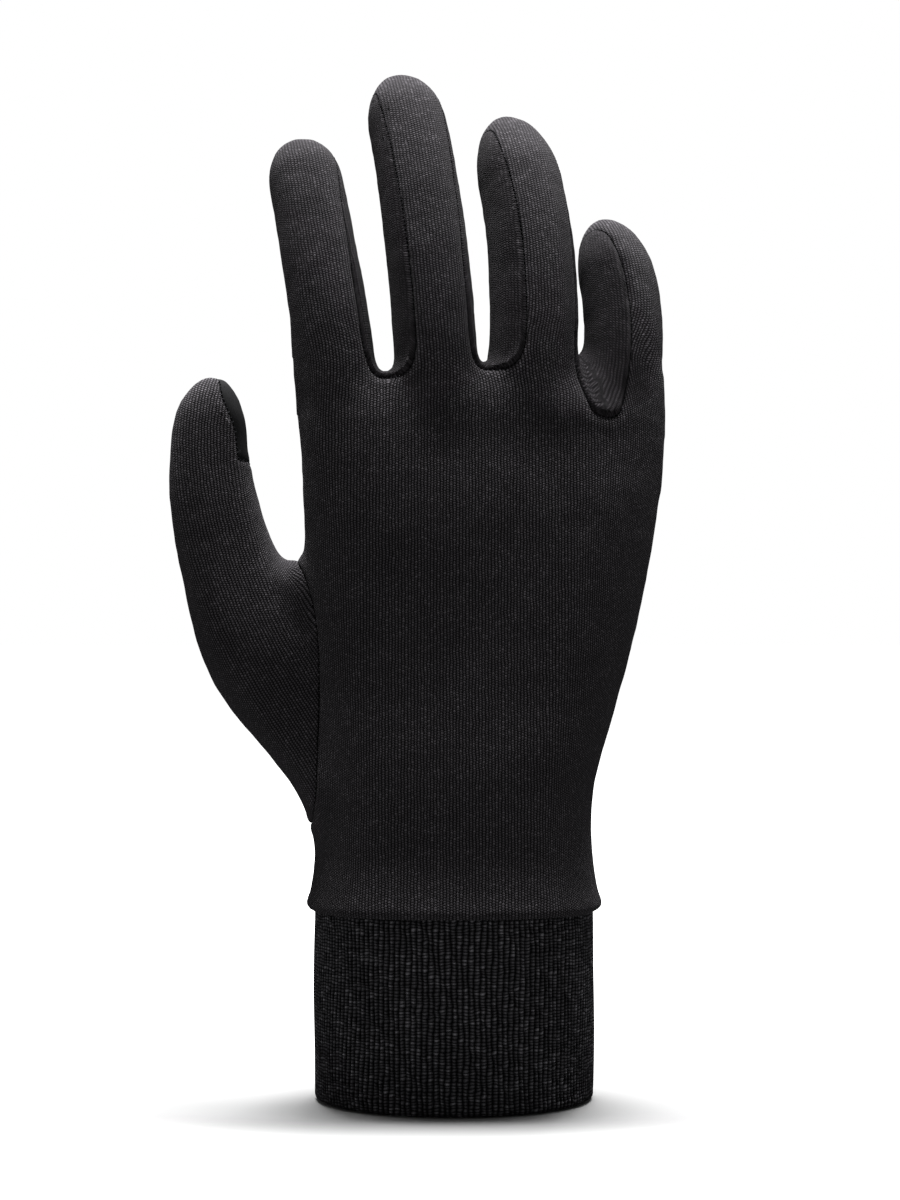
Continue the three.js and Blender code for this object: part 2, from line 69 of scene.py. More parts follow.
# Hand
HEM_HEIGHT = 19.0
WRIST_WIDTH = 68.6
WRIST_DEPTH = 48.5
HAND_LENGTH = 95.7
KNUCKLE_WIDTH = 91.4
KNUCKLE_DEPTH = 24.0
KNUCKLE_SHIFT = 7.1
KNUCKLE_TURN = 7.0
KNUCKLE_SLOPE = 6.0
KNUCKLE_DOME = 11.0
HEM_EXTRA = 8.0  # cloth modelled below the hem, then cut off
HAND_POWER = 2.6
ROUND_POWER = 2.3
CURL_POWER = 1.35

# How far each side of the hand has come from the wrist (0) to the knuckles (1)
HAND_TABLE = {
    "up": [0, 0.11, 0.21, 0.36, 0.5, 0.65, 0.8, 0.93, 1],
    "left": [0, 0, 0.1, 0.35, 0.55, 0.7, 0.8, 0.9, 1],
    "right": [0, 0.02, 0.15, 0.37, 0.56, 0.73, 0.87, 0.97, 1],
    "back": [0, 0.06, 0.14, 0.33, 0.46, 0.57, 0.69, 0.86, 1],
    "palm": [0, 0, 0.04, 0.16, 0.35, 0.55, 0.72, 0.9, 1],
    "turn": [0, 0, 0.1, 0.3, 0.5, 0.7, 0.88, 0.96, 1],
    "slope": [0, 0, 0, 0.05, 0.2, 0.4, 0.7, 0.9, 1],
}
HEM_TABLE = {"up": [0, 0.14, 0.35, 0.65, 1], "flare": [1, 0.98, 0.6, 0.18, 0]}
FINGER_GIRTHS = {"along": [0, 0.3, 0.55, 0.8, 1], "girth": [1.04, 1, 0.985, 0.96, 0.93]}
THUMB_GIRTHS = {
    "along": [0, 0.24, 0.43, 0.62, 0.81, 1],
    "girth": [1.15, 1.27, 1.47, 1.18, 0.98, 0.76],
}
THUMB_LEANS = {"along": [0, 0.28, 0.52, 0.76, 1], "lean": [-33, -34, -23.6, -9.2, 12.5]}

# Places of the fingers' roots: shares of the knuckles' width and depth, and how far below them
FINGERS = {
    "index": dict(
        root=(-0.26, -0.17, 16), length=101, width=19.7, depth=18.3,
        lean=-8, curl=33, twist=7, tip=12.5,
    ),
    "middle": dict(
        root=(-0.033, -0.17, 12), length=116, width=20.9, depth=19.1,
        lean=-1.6, curl=38, twist=16, tip=15.5,
    ),
    "ring": dict(
        root=(0.1735, 0, 16), length=109.5, width=22.3, depth=20.1,
        lean=8.3, curl=42, twist=33, tip=21,
    ),
    "little": dict(
        root=(0.353, 0.29, 22), length=87.3, width=21.0, depth=19.1,
        lean=19.8, curl=44, twist=52, tip=18.5,
    ),
}
THUMB = dict(root=(-17.6, 1, 0), length=126, width=21, depth=20, curl=8, tip=13)

# Soft fillings of the outer sides, as rings: height, middle, half width and half depth
LITTLE_SIDE = {
    "z": [128, 142, 154, 166, 178, 190],
    "x": [36, 39.3, 41.6, 42.5, 43.1, 42.8],
    "y": [0, 2, 4, 6.5, 9.5, 12.5],
    "half": [9, 10.6, 11, 10.9, 10.5, 9.5],
    "deep": [4, 6, 7.5, 8.5, 8.5, 8],
}
INDEX_SIDE = {
    "z": [146, 154, 164, 174, 184, 194, 202],
    "x": [-27.5, -28.6, -29.4, -30.5, -31.3, -32.1, -32.4],
    "y": [-3, -3.5, -4, -3.5, -2.5, -1, 0],
    "half": [8, 9, 9, 9, 9, 9, 8],
    "deep": [3, 4.5, 5, 5, 5, 4.5, 3],
}
WRIST_SIDE = {
    "z": [54, 62.7, 66.5, 70, 74, 80, 88],
    "x": [-23.5, -24.9, -25.9, -27.1, -28.5, -31, -33.5],
    "y": [0, 0, 0, 0, 0, 0, 0],
    "half": [10, 10, 10, 10, 10, 10, 9],
    "deep": [8, 13, 15, 16, 16, 15, 10],
}
LITTLE_BASE_TO_PALM = 8.0  # how far the little finger's base lies toward the palm

# Webs between neighbouring fingers, and the round bottom of the strip sewn in over each
WEBS = [
    dict(fingers=("index", "middle"), rises=(24, 20), height=24, tilt=12, sag=1.5, on_back=8, on_palm=8),
    dict(fingers=("middle", "ring"), rises=(22, 26), height=24, tilt=16, sag=1.5, on_back=8, on_palm=8),
    dict(fingers=("ring", "little"), rises=(29, 35), height=28, tilt=40, sag=2, on_back=-5, on_palm=5),
]
WEB_DEPTH_SHARE = 0.95
CROTCH_HEIGHT = 13.0
THUMB_WEB = dict(along=0.5, drop=10, height=23, depths=(19, 23), across=-26, back=1)
THUMB_CROTCH = 68.0
# Rounds of softening on a grid of 1.3 mm
CROTCH_ROUNDS = 12
THUMB_WEB_ROUNDS = 45
HOLLOW_ROUNDS = 70
KNUCKLE_ROUNDS = 40
THUMB_WEB_SOFT = dict(aside=14, wide=11)
KNUCKLE_SOFT = dict(share=0.8, high=14, sides=(32, 44))
# Places where the joined forms are relaxed most, and how wide
HOLLOWS = [
    ((-37, -3, 71), 13),
    ((26, 14, 168), 15),
    ((36, 12, 156), 12),
    ((35, 10, 137), 11),
    ((-31, 10, 117), 11),
]
STRIP_ANGLES = {"along": [0, 0.5, 0.8, 0.93, 1], "angle": [50, 46, 38, 27, 8]}
STRIP_END = 2.0
STRIP_CLOSING = dict(run=9, at_end=1.2, slope=1.5, limit=4)  # how a strip narrows to its end on the fingertip
STRIP_POWER = 3.6  # how full the strips' round bottoms are
STRIP_TURN = 5.0  # how far to each side of the middle the bottom goes from its back height to its palm height
CROTCH_AREA = dict(middle=4, high=14, wide=7)

# The thumb's seam: shares of the way up to its crotch, and of the wrist's half width
THUMB_SEAM = {
    "up": [-0.15, 0.02, 0.12, 0.3, 0.55, 0.78, 0.92, 1, 1.12, 1.9],
    "back": [-1.35, -1.06, -1, -0.98, -0.97, -1, -1.07, -1.15, -1.24, -1.36],
    "palm": [-1.35, -1.02, -0.82, -0.52, -0.34, -0.5, -0.82, -1.12, -1.24, -1.36],
}
PAD_LENGTH = 23.0
PAD_MIDDLE = 45.0
PAD_HALF = 85.0
PAD_TIP_HALF = 28.0  # how much further round it reaches at the tip
PAD_FLARE = (-17, -2)  # where it comes to reach further, from the tip

# Seams: the groove, the soft swell beside it, and the thread's stitches
SEAM_LEVELS = [0, -0.45, 0.45, -1.0, 1.0, -1.9, 1.9]
HEM_LEVELS = [0.3, 0.65, 1.1, 1.9]
CUT_SNAP = 0.12  # a cut this near to an edge's end, as a share of it, goes through the end
ON_LINE = 0.02
SEAM_REACH = 6.0  # nothing of a seam is shaped further away
GROOVE_DEPTH = 0.45
GROOVE_WIDTH = 0.45
SWELL = 0.14
SWELL_MIDDLE = 1.9
SWELL_WIDTH = 0.9
PAD_SEAM_SHARE = 0.6  # the pad's seam is shallower
TIP_FADE = 0.8  # share of a seam's depth lost at the fingertips
TIP_AREA = (-14, -4)
CROTCH_LIP = 1.6  # how soon the lip is full, counted from the crotch
LIP = 0.45  # rolled edge of a strip round its crotch
LIP_MIDDLE = 1.0
LIP_WIDTH = 0.75
FINGER_STITCHES = dict(pitch=1.15, half_length=0.36, half_width=0.12, lift=0.04)
PAD_STITCHES = dict(pitch=1.3, half_length=0.45, half_width=0.14, lift=0.12, slant=0.6)
HEM_SWELL = 0.45
HEM_SWELL_MIDDLE = 1.8
HEM_SWELL_WIDTH = 1.6
HEM_ROLL = 1.2
HEM_ROLL_WIDTH = 0.55
HEM_EDGE_WALL = 0.2  # share of the wall left at the rolled edge of the hem

# Knit, in millimetres
WALE = 0.78
KNIT = dict(course=0.6, wale_dark=0.97, row_dark=0.9)
STRIP = dict(course=0.65, wale_dark=0.6, row_dark=0.97)
TIPS_Z = (0.18, 0.25)  # in metres: towards the fingertips the knit looks closer, with fainter gaps, and darker; the darkening is painted shade, which makes up for the strong light from above
TIPS_GAPS_LOST = 0.35
# share of painted shade at the fingertips
TIPS_PAINTED_SHADE = 0.38
RIB_COURSE = 0.8
BLACK_KNIT = (0.0172, 0.0161, 0.0175)
# the strips' knit is the same black yarn, made darker as painted shade for their sides between the fingers, turned
# away from the light
STRIP_KNIT_PAINTED_SHADE = (0.0095, 0.0088, 0.0096)
BLACK_RIB = (0.0215, 0.021, 0.0226)
PAD_GREY = (0.0034, 0.0034, 0.0035)
THREAD_BLACK = (0.006, 0.006, 0.0065)

# Room, in metres
FLOOR_Z = -0.0004
FLOOR_RADIUS = 6.0
FLOOR_GREY = 0.05
PAINTED_GLOW_SQUEEZE = (1, 4, 1)  # the floor's painted glow starts sooner front to back, which keeps its shadow narrow
PAINTED_GLOW_EDGE = (0.11, 0.24)  # from here to here the floor's painted glow rises to full, and the floor turns plain white
AIM = (0, 0, 0.13)
# Name, place, size and power of each lamp
LAMPS = [
    ("light_above", (0, 0.3, 1.2), 0.7, 450),
    ("light_front_left", (-0.9, -1.1, 0.7), 0.9, 1.5),
    ("light_front_right", (1.0, -1.0, 0.6), 0.9, 1),
]
CAMERA_PLACE = (-0.001, -0.6, 0.124)
CAMERA_LENS = 96
CAMERA_SENSOR = 36


def curve(table, key, column, at):
    """The value of a column at places along a table, on a smooth curve through its rows."""
    xs = np.array(table[key], float)
    ys = np.array(table[column], float)
    at = np.clip(np.asarray(at, float), xs[0], xs[-1])
    i = np.clip(np.searchsorted(xs, at, side="right") - 1, 0, len(xs) - 2)
    low = np.maximum(np.arange(len(xs)) - 1, 0)
    high = np.minimum(np.arange(len(xs)) + 1, len(xs) - 1)
    slope = (ys[high] - ys[low]) / (xs[high] - xs[low])
    span = xs[i + 1] - xs[i]
    t = (at - xs[i]) / span
    s = t * t * (3 - 2 * t)
    bend = t * (1 - t) * span * (slope[i] * (1 - t) - slope[i + 1] * t)
    return ys[i] * (1 - s) + ys[i + 1] * s + bend


def rise_between(low, high, x):
    """0 below low, 1 above high, smooth between."""
    t = np.clip((x - low) / (high - low), 0, 1)
    return t * t * (3 - 2 * t)


def bell(x, width):
    return np.exp(-((x / width) ** 2))


def unit(v):
    return v / np.maximum(np.linalg.norm(v, axis=-1, keepdims=True), 1e-9)


def reach(angle, power):
    total = np.abs(np.cos(angle)) ** power + np.abs(np.sin(angle)) ** power
    return total ** (-1 / power)


def ring_points(place, side, palm, half_width, half_depth, around, power):
    """Points round boxy ellipses. Each row of the arrays is one ring."""
    angle = np.linspace(0, 2 * np.pi, around, endpoint=False)
    out = reach(angle, power)
    across = half_width[:, None] * (out * np.cos(angle))
    deep = half_depth * (out * np.sin(angle))
    return place[:, None] + across[..., None] * side[:, None] + deep[..., None] * palm[:, None]


class Digit:
    """The middle line of a finger or thumb, and its size along that line."""

    steps = 120

    def __init__(self, root, length, width, depth, curl, tip, twist=0, lean=None, leans=None, girths=None):
        self.length, self.tip = length, tip
        self.share = np.linspace(0, 1, self.steps + 1)
        middle = (self.share[1:] + self.share[:-1]) / 2
        middle = np.concatenate([[0], middle])
        tilt = curve(leans, "along", "lean", middle) if leans else np.full(middle.shape, float(lean))
        bend = curl * (middle if leans else middle**CURL_POWER)
        tilt, bend, turn = np.radians(tilt), np.radians(bend), math.radians(twist)
        to_palm = np.array([-math.sin(turn), math.cos(turn), 0])
        across = np.array([math.cos(turn), math.sin(turn), 0])
        up = np.stack([np.sin(tilt), np.zeros_like(tilt), np.cos(tilt)], 1)
        self.along = unit(up * np.cos(bend)[:, None] + to_palm * np.sin(bend)[:, None])
        step = self.along * np.diff(self.share, prepend=0)[:, None] * length
        self.place = np.array(root, float) + np.cumsum(step, 0)
        self.side = unit(across - self.along * (self.along @ across)[:, None])
        self.palm = unit(np.cross(self.along, self.side))
        girth = curve(girths, "along", "girth", self.share)
        self.width, self.depth = width * girth, depth * girth

    def at(self, values, share):
        share = np.clip(share, 0, 1)
        if values.ndim == 1:
            return np.interp(share, self.share, values)
        return np.stack([np.interp(share, self.share, values[:, k]) for k in range(3)], -1)

    def fade(self, share):
        into = np.clip((share - 1) * self.length + self.tip, 0, self.tip) / self.tip
        return np.sqrt(np.maximum(0, 1 - into**2))

    def rings(self, around):
        shoulder = 1 - self.tip / self.length
        shares = np.concatenate(
            [np.linspace(0, shoulder, 48), shoulder + (1 - shoulder) * np.sin(np.linspace(0, np.pi / 2, 14)[1:])]
        )
        fade = self.fade(shares)
        half = self.at(self.width, shares) / 2 * fade
        deep = (self.at(self.depth, shares) / 2 * fade)[:, None]
        frame_at = [self.at(v, shares) for v in (self.place, self.side, self.palm)]
        return ring_points(*frame_at, half, deep, around, ROUND_POWER)

    def locate(self, points):
        """For each point: its share of the length, and its place across the digit, to the side and palm."""
        share = np.zeros(len(points))
        for start in range(0, len(points), 4096):
            part = points[start : start + 4096]
            near = ((part[:, None] - self.place[None]) ** 2).sum(-1).argmin(1)
            past = ((part - self.place[near]) * self.along[near]).sum(-1) / self.length
            share[start : start + 4096] = self.share[near] + past
        away = points - self.at(self.place, share)
        x = (away * self.at(self.side, share)).sum(-1)
        y = (away * self.at(self.palm, share)).sum(-1)
        return share, x, y


def finger_root(across, back, below):
    top = CUFF_HEIGHT + HEM_HEIGHT + HAND_LENGTH
    return (across * KNUCKLE_WIDTH, back * KNUCKLE_DEPTH, top - below)


def digit_of(row, root, **tables):
    rest = {k: v for k, v in row.items() if k != "root"}
    return Digit(root, **rest, **tables)


WRIST_Z = CUFF_HEIGHT + HEM_HEIGHT
fingers = {name: digit_of(row, finger_root(*row["root"]), girths=FINGER_GIRTHS) for name, row in FINGERS.items()}
thumb_root = (THUMB["root"][0], THUMB["root"][1], WRIST_Z + THUMB["root"][2])
thumb = digit_of(THUMB, thumb_root, leans=THUMB_LEANS, girths=THUMB_GIRTHS)


def hand_rings(around):
    """The hand from below the hem to the closed end over the knuckles."""
    hem_up = np.linspace(0, 1, 14)[:-1]
    flare = curve(HEM_TABLE, "up", "flare", hem_up)
    hem_size = 2 * (SEAM_GAP + KNIT_WALL)
    up = np.linspace(0, 1, 46)
    dome = np.sin(np.linspace(0, np.pi / 2, 10))[1:-1]
    row = {k: curve(HAND_TABLE, "up", k, np.concatenate([up, np.ones(len(dome))])) for k in HAND_TABLE}
    raised = np.concatenate([np.zeros(len(up)), dome * KNUCKLE_DOME])
    drawn = np.concatenate([np.zeros(len(up)), KNUCKLE_DEPTH / 2 * (1 - np.sqrt(1 - dome**2))])
    left = -WRIST_WIDTH / 2 + row["left"] * (KNUCKLE_SHIFT - KNUCKLE_WIDTH / 2 + WRIST_WIDTH / 2)
    right = WRIST_WIDTH / 2 + row["right"] * (KNUCKLE_SHIFT + KNUCKLE_WIDTH / 2 - WRIST_WIDTH / 2)
    turn, slope = np.radians(KNUCKLE_TURN * row["turn"]), np.radians(KNUCKLE_SLOPE * row["slope"])
    side = np.stack([np.cos(turn) * np.cos(slope), np.sin(turn) * np.cos(slope), -np.sin(slope)], 1)
    palm = np.stack([-np.sin(turn), np.cos(turn), np.zeros_like(turn)], 1)
    z = WRIST_Z + row["up"] * HAND_LENGTH + raised
    place = np.stack([(left + right) / 2, np.zeros_like(z), z], 1)
    back_half = (WRIST_DEPTH + row["back"] * (KNUCKLE_DEPTH - WRIST_DEPTH)) / 2 - drawn
    palm_half = (WRIST_DEPTH + row["palm"] * (KNUCKLE_DEPTH - WRIST_DEPTH)) / 2 - drawn
    hem_z = np.concatenate([[CUFF_HEIGHT - HEM_EXTRA], CUFF_HEIGHT + hem_up * HEM_HEIGHT])
    flare = np.concatenate([[1.0], flare])
    hem_place = np.stack([np.zeros_like(hem_z), np.zeros_like(hem_z), hem_z], 1)
    hem_half = (WRIST_WIDTH + flare * (CUFF_WIDTH + hem_size - WRIST_WIDTH)) / 2
    hem_deep = (WRIST_DEPTH + flare * (CUFF_DEPTH + hem_size - WRIST_DEPTH)) / 2
    flat = np.ones((len(hem_z), 1))
    place = np.concatenate([hem_place, place])
    side = np.concatenate([flat * [1, 0, 0], side])
    palm = np.concatenate([flat * [0, 1, 0], palm])
    half = np.concatenate([hem_half, (right - left - drawn) / 2])
    angle = np.linspace(0, 2 * np.pi, around, endpoint=False)
    back_half = np.concatenate([hem_deep, back_half])[:, None]
    palm_half = np.concatenate([hem_deep, palm_half])[:, None]
    deep = np.where(np.sin(angle) > 0, palm_half, back_half)
    return ring_points(place, side, palm, half, deep, around, HAND_POWER)


def crossing_rings(start, end, web, depths, around):
    """A web from one place to another. It is turned down by its tilt and hangs by its sag."""
    along = unit(end - start)
    level = unit(np.cross([0, 0, 1], along))
    rise = unit(np.cross(along, level))
    tilt = math.radians(web.get("tilt", 0))
    top = rise * math.cos(tilt) + level * math.sin(tilt)
    palm = level * math.cos(tilt) - rise * math.sin(tilt)
    t = np.linspace(0, 1, 9)
    place = start + (end - start) * t[:, None] - rise * (web.get("sag", 0) * (1 - (2 * t - 1) ** 2))[:, None]
    half = np.full(len(t), web["height"] / 2)
    deep = ((1 - t) * depths[0] + t * depths[1])[:, None] / 2
    ones = np.ones((len(t), 1))
    return ring_points(place, ones * top, ones * palm, half, deep, around, ROUND_POWER)


def finger_web_rings(web, around):
    ends = [fingers[name] for name in web["fingers"]]
    shares = [rise / digit.length for rise, digit in zip(web["rises"], ends)]
    places = [digit.at(digit.place, s) for digit, s in zip(ends, shares)]
    depths = [digit.at(digit.depth, s) * WEB_DEPTH_SHARE for digit, s in zip(ends, shares)]
    return crossing_rings(places[0], places[1], web, depths, around)


def thumb_web_rings(around):
    start = thumb.at(thumb.place, THUMB_WEB["along"])
    end = np.array([THUMB_WEB["across"], THUMB_WEB["back"], WRIST_Z + THUMB_CROTCH - THUMB_WEB["drop"]])
    return crossing_rings(start, end, THUMB_WEB, THUMB_WEB["depths"], around)


def filling_rings(table, around):
    z = np.linspace(table["z"][0], table["z"][-1], 20)
    x, y, half, deep = (curve(table, "z", k, z) for k in ("x", "y", "half", "deep"))
    ones = np.ones((len(z), 1))
    return ring_points(np.stack([x, y, z], 1), ones * [1, 0, 0], ones * [0, 1, 0], half, deep[:, None], around, 2)


def tube(bm, rings):
    """Adds a skin over rings of points, closed at both ends."""
    rows, around, _ = rings.shape
    made = bmesh.ops.create_grid(bm, x_segments=around, y_segments=rows - 1, size=1)["verts"]
    for v in made:
        i = round((v.co.x + 1) / 2 * around) % around
        j = round((v.co.y + 1) / 2 * (rows - 1))
        v.co = Vector(rings[j, i]) * MM
    bmesh.ops.remove_doubles(bm, verts=made, dist=1e-6)
    open_edges = [e for e in bm.edges if e.is_boundary]
    if open_edges:
        bmesh.ops.holes_fill(bm, edges=open_edges, sides=0)


def object_of(bm, name):
    mesh = bpy.data.meshes.new(name)
    bm.to_mesh(mesh)
    bm.free()
    made = bpy.data.objects.new(name, mesh)
    bpy.context.scene.collection.objects.link(made)
    return made


def joined_hand():
    """The hand, digits and webs as one closed skin on an even grid."""
    bm = bmesh.new()
    tube(bm, hand_rings(96))
    for digit in [*fingers.values(), thumb]:
        tube(bm, digit.rings(40))
    for web in WEBS:
        tube(bm, finger_web_rings(web, 32))
    tube(bm, thumb_web_rings(32))
    for table in (LITTLE_SIDE, INDEX_SIDE, WRIST_SIDE):
        tube(bm, filling_rings(table, 40))
    bmesh.ops.recalc_face_normals(bm, faces=bm.faces)
    form = object_of(bm, "hand_form")
    remesh = form.modifiers.new("even_grid", "REMESH")
    remesh.mode = "VOXEL"
    remesh.voxel_size = VOXEL * MM
    bpy.context.view_layer.update()
    mesh = bpy.data.meshes.new_from_object(form.evaluated_get(bpy.context.evaluated_depsgraph_get()))
    bpy.data.objects.remove(form)
    return mesh


def points_of(mesh):
    co = np.zeros(len(mesh.vertices) * 3)
    mesh.vertices.foreach_get("co", co)
    return co.reshape(-1, 3) / MM


def edges_of(mesh):
    pairs = np.zeros(len(mesh.edges) * 2, int)
    mesh.edges.foreach_get("vertices", pairs)
    return pairs.reshape(-1, 2)


def neighbours_mean(values, pairs):
    """The mean of each point's neighbours."""
    count = np.bincount(pairs.ravel(), minlength=len(values)).astype(float)
    flat = values.reshape(len(values), -1)
    total = np.zeros_like(flat)
    for k in range(flat.shape[1]):
        total[:, k] = np.bincount(pairs[:, 0], flat[pairs[:, 1], k], len(flat))
        total[:, k] += np.bincount(pairs[:, 1], flat[pairs[:, 0], k], len(flat))
    return (total / np.maximum(count, 1)[:, None]).reshape(values.shape)


def eased(points, pairs, rounds, weight=1.0):
    """Evened out without shrinking."""
    weight = np.broadcast_to(weight, (len(points),))[:, None]
    for _ in range(rounds):
        points = points + 0.5 * weight * (neighbours_mean(points, pairs) - points)
        points = points - 0.52 * weight * (neighbours_mean(points, pairs) - points)
    return points


def softened(points, pairs, rounds, weight):
    """Relaxed like stretched cloth, which rounds hollows and edges."""
    for _ in range(rounds):
        points = points + 0.5 * weight[:, None] * (neighbours_mean(points, pairs) - points)
    return points


def beyond_seam(digit, located, way, start_rise):
    """How far a point lies past a finger's seam line on the side `way`, in millimetres."""
    share, x, _ = located
    start = start_rise / digit.length
    end = 1 - STRIP_END / digit.length
    half = np.radians(curve(STRIP_ANGLES, "along", "angle", (share - start) / (end - start)))
    line = digit.at(digit.width, share) / 2 * reach(half, ROUND_POWER) * np.cos(half) * digit.fade(share)
    # The limit keeps a longer finger beside this one free of its end
    past_end = np.minimum((share - end) * digit.length, STRIP_CLOSING["limit"])
    closing = STRIP_CLOSING["at_end"] * rise_between(-STRIP_CLOSING["run"], 0, past_end)
    return way * x - line - (closing + STRIP_CLOSING["slope"] * np.maximum(past_end, 0))


class StripSeam:
    """Where points lie about the seam of one strip: above 0 is the strip."""

    def __init__(self, web, located):
        names = web["fingers"]
        digits = [fingers[n] for n in names]
        top = max(web["on_back"], web["on_palm"]) + CROTCH_HEIGHT
        self.a = beyond_seam(digits[0], located[names[0]], 1, web["rises"][0] + top)
        self.b = beyond_seam(digits[1], located[names[1]], -1, web["rises"][1] + top)
        above = [located[n][0] * d.length - r for n, d, r in zip(names, digits, web["rises"])]
        self.height = (above[0] + above[1]) / 2
        self.y = (located[names[0]][2] + located[names[1]][2]) / 2
        to_palm = rise_between(-STRIP_TURN, STRIP_TURN, self.y)
        bottom = web["on_back"] + (web["on_palm"] - web["on_back"]) * to_palm
        level = (self.height - bottom) / (top - bottom)
        width = np.maximum(self.a + self.b, 1.0)
        aside = (self.b - self.a) / width
        from_middle = np.maximum(1 - level, 0) ** STRIP_POWER + np.abs(aside) ** STRIP_POWER
        self.field = (1 - from_middle ** (1 / STRIP_POWER)) * width / 2
        near = np.maximum(0, -np.minimum(self.a, self.b))
        in_height = bell(self.height - CROTCH_AREA["middle"], CROTCH_AREA["high"])
        self.crotch = in_height * bell(near, CROTCH_AREA["wide"])


def thumb_field(points):
    """Above 0 on the thumb's side of its seam."""
    x, y, z = points.T
    up = (z - WRIST_Z) / THUMB_CROTCH
    back = curve(THUMB_SEAM, "up", "back", up)
    palm = curve(THUMB_SEAM, "up", "palm", up)
    mixed = back + (palm - back) * np.clip(y / (WRIST_DEPTH / 2), 0, 1)
    top = WRIST_Z + THUMB_SEAM["up"][-1] * THUMB_CROTCH
    return np.minimum(mixed * WRIST_WIDTH / 2 - x, top - z)


def pad_field(located, thumb_side):
    """Above 0 on the smooth pad of the thumb."""
    share, x, y = located
    middle = math.radians(PAD_MIDDLE)
    half = np.radians(PAD_HALF + PAD_TIP_HALF * rise_between(*PAD_FLARE, (share - 1) * thumb.length))
    out = x * math.cos(middle) + y * math.sin(middle)
    line = thumb.at(thumb.width, share) / 2 * np.cos(half) * thumb.fade(share)
    up = (share - 1) * thumb.length + PAD_LENGTH
    return np.minimum(np.minimum(out - line, up), thumb_side)


def per_millimetre(field, points, pairs):
    """The field over its own slope on the skin, so that it counts millimetres."""
    span = np.linalg.norm(points[pairs[:, 0]] - points[pairs[:, 1]], axis=1)
    slope = ((field[pairs[:, 0]] - field[pairs[:, 1]]) / np.maximum(span, 1e-6)) ** 2
    count = np.bincount(pairs.ravel(), minlength=len(field))
    total = np.bincount(pairs[:, 0], slope, len(field)) + np.bincount(pairs[:, 1], slope, len(field))
    steep = np.sqrt(2 * total / np.maximum(count, 1))
    for _ in range(6):
        steep = 0.5 * steep + 0.5 * neighbours_mean(steep, pairs)
    return field / np.clip(steep, 0.3, 1.3)


def cut_at(bm, layer, level):
    """Cuts the faces along the line where a layer's value is `level`."""
    on_line = set()
    for edge in list(bm.edges):
        a, b = edge.verts
        va, vb = a[layer] - level, b[layer] - level
        if abs(va) < ON_LINE:
            on_line.add(a)
        if abs(vb) < ON_LINE:
            on_line.add(b)
        near, far = sorted([abs(va), abs(vb)])
        if va * vb >= 0 or near < ON_LINE or far > SEAM_REACH:
            continue
        share = va / (va - vb)
        if share < CUT_SNAP:
            a.co, a[layer] = a.co.lerp(b.co, share), level
            on_line.add(a)
        elif share > 1 - CUT_SNAP:
            b.co, b[layer] = b.co.lerp(a.co, 1 - share), level
            on_line.add(b)
        else:
            _, new = bmesh.utils.edge_split(edge, a, share)
            new[layer] = level
            on_line.add(new)
    bmesh.ops.connect_verts(bm, verts=[v for v in on_line if v.is_valid])


SEAM_LAYERS = ["strip_0", "strip_1", "strip_2", "thumb", "pad"]
HAND_LAYERS = [*SEAM_LAYERS, "hem", "crotch", "tip"]


def cut_hand():
    """The hand's skin, cut along every seam, with the distance to each seam on its points."""
    mesh = joined_hand()
    pairs = edges_of(mesh)
    points = eased(points_of(mesh), pairs, 6)
    located = {n: d.locate(points) for n, d in fingers.items()}
    strips = [StripSeam(web, located) for web in WEBS]
    rounds = 1.69 / VOXEL**2  # the same softening on any grid
    soft = np.clip(sum(s.crotch for s in strips), 0, 1)
    points = softened(points, pairs, int(CROTCH_ROUNDS * rounds), soft)
    web_middle = np.array([THUMB_WEB["across"] - THUMB_WEB_SOFT["aside"], 0, WRIST_Z + THUMB_CROTCH])
    soft = bell(np.linalg.norm(points - web_middle, axis=1), THUMB_WEB_SOFT["wide"])
    points = softened(points, pairs, int(THUMB_WEB_ROUNDS * rounds), soft)
    for place, size in HOLLOWS:
        near = bell(np.linalg.norm(points - place, axis=1), size)
        points = softened(points, pairs, int(HOLLOW_ROUNDS * rounds), near)
    knuckles = bell(points[:, 2] - WRIST_Z - HAND_LENGTH, KNUCKLE_SOFT["high"])
    knuckles *= 1 - rise_between(*KNUCKLE_SOFT["sides"], np.abs(points[:, 0] - KNUCKLE_SHIFT))
    points = softened(points, pairs, int(KNUCKLE_ROUNDS * rounds), KNUCKLE_SOFT["share"] * knuckles)
    points = eased(points, pairs, 4)
    located = {n: d.locate(points) for n, d in fingers.items()}
    strips = [StripSeam(web, located) for web in WEBS]
    thumb_side = thumb_field(points)
    values = [s.field for s in strips]
    values += [thumb_side, pad_field(thumb.locate(points), thumb_side), points[:, 2] - CUFF_HEIGHT]
    values = [per_millimetre(v, points, pairs) for v in values]
    values.append(np.clip(sum(s.crotch for s in strips) * CROTCH_LIP, 0, 1))
    to_tip = [rise_between(*TIP_AREA, (located[n][0] - 1) * d.length) for n, d in fingers.items()]
    values.append(np.max(to_tip, axis=0))
    mesh.vertices.foreach_set("co", (points * MM).ravel())
    bm = bmesh.new()
    bm.from_mesh(mesh)
    bpy.data.meshes.remove(mesh)
    layers = {name: bm.verts.layers.float.new(name) for name in HAND_LAYERS}
    bm.verts.ensure_lookup_table()
    for name, value in zip(HAND_LAYERS, values):
        layer = layers[name]
        for v, x in zip(bm.verts, value):
            v[layer] = x
    cut_at(bm, layers["hem"], 0)
    low = [f for f in bm.faces if sum(v[layers["hem"]] for v in f.verts) < 0]
    bmesh.ops.delete(bm, geom=low, context="FACES")
    for level in HEM_LEVELS:
        cut_at(bm, layers["hem"], level)
    for name in SEAM_LAYERS:
        for level in SEAM_LEVELS:
            cut_at(bm, layers[name], level)
    bmesh.ops.dissolve_degenerate(bm, dist=1e-6, edges=bm.edges)
    bmesh.ops.recalc_face_normals(bm, faces=bm.faces)
    return bm, layers


